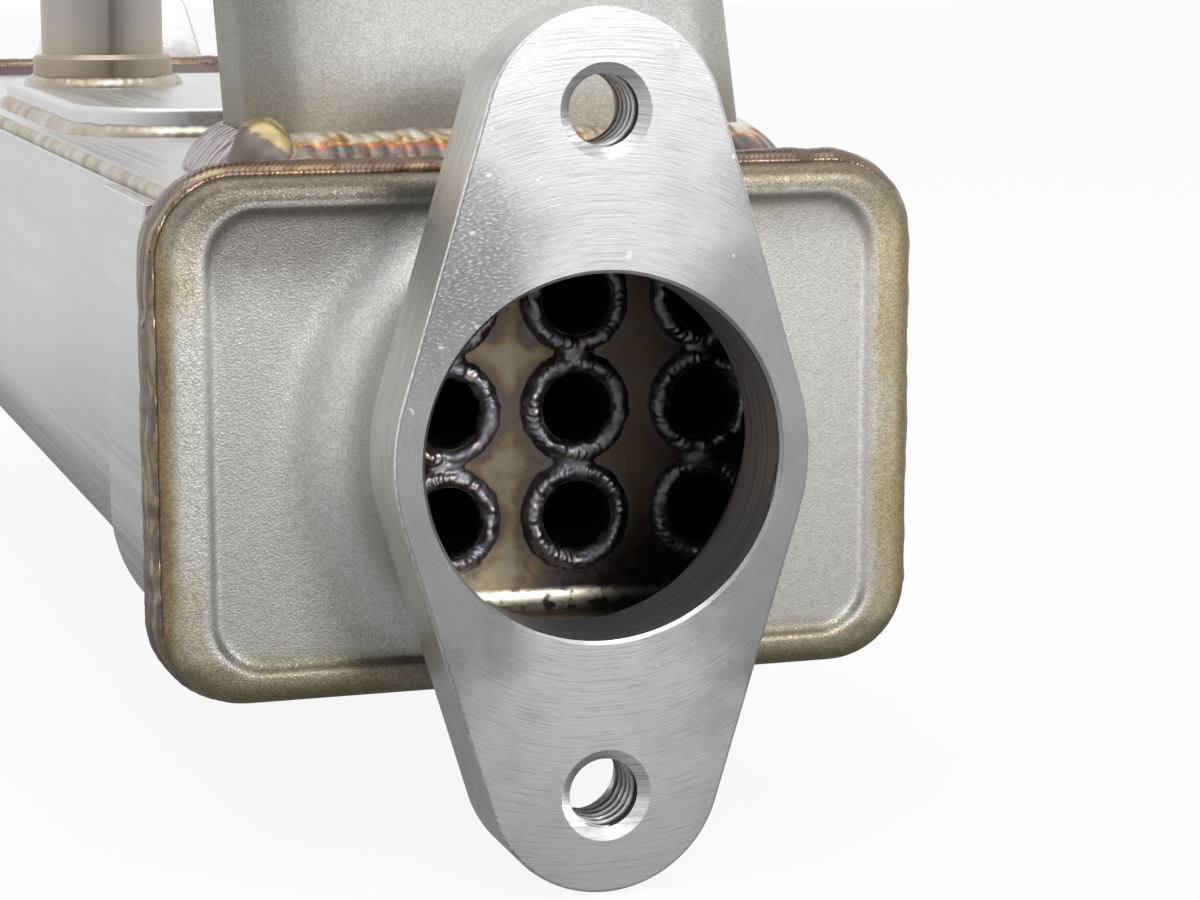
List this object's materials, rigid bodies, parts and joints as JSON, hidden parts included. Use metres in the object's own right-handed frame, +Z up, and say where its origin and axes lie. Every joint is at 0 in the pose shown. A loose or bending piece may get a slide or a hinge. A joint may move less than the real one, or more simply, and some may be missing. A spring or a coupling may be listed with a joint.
{
  "type": "egr cooler",
  "caption": "Exhaust gas recirculation cooler: a rectangular welded shell round a bundle of gas tubes, with bolted gas flanges at its ends and coolant ports on top.",
  "frame": {"origin": "centre of the gas inlet bore on the inlet flange's front face, which is also the middle of its two bolt holes", "axes": "+Y from the gas inlet towards the gas outlet, +Z up towards the coolant ports, +X to the right seen from the inlet"},
  "size_m": [0.0912, 0.28, 0.1106],
  "materials": {
    "machined_steel": "faced and bored, with fine tool marks",
    "blasted_steel": "bead-blasted casting, sandy grain",
    "heat_tinted_steel": "sheet with golden brown heat tint",
    "sheet_steel": "satin sheet",
    "weld_metal": "rippled bead with straw, purple and blue tint"
  },
  "bodies": {
    "root": {"gas_inlet_flange": "machined_steel", "gas_outlet_flange": "machined_steel", "gas_inlet_cap": "blasted_steel", "gas_outlet_cap": "blasted_steel", "coolant_outlet_duct": "blasted_steel", "gas_inlet_tube_sheet": "heat_tinted_steel", "gas_outlet_tube_sheet": "heat_tinted_steel", "shell_trough": "sheet_steel", "shell_lid": "sheet_steel", "shell_band_front": "sheet_steel", "shell_band_rear": "sheet_steel", "coolant_inlet_pad": "sheet_steel", "coolant_inlet_pipe": "sheet_steel", "baffle_front": "sheet_steel", "baffle_middle": "sheet_steel", "baffle_rear": "sheet_steel", "gas_tube_1": "sheet_steel", "gas_tube_2": "sheet_steel", "gas_tube_3": "sheet_steel", "gas_tube_4": "sheet_steel", "gas_tube_5": "sheet_steel", "gas_tube_6": "sheet_steel", "gas_tube_7": "sheet_steel", "gas_tube_8": "sheet_steel", "gas_tube_9": "sheet_steel", "gas_tube_10": "sheet_steel", "gas_tube_11": "sheet_steel", "gas_tube_12": "sheet_steel", "gas_inlet_seam_weld": "weld_metal", "gas_inlet_ring_welds": "weld_metal", "shell_lid_welds": "weld_metal", "coolant_duct_weld": "weld_metal", "coolant_pad_weld": "weld_metal", "coolant_pipe_weld": "weld_metal", "gas_outlet_ring_welds": "weld_metal", "gas_outlet_seam_weld": "weld_metal"}
  },
  "joints": []
}
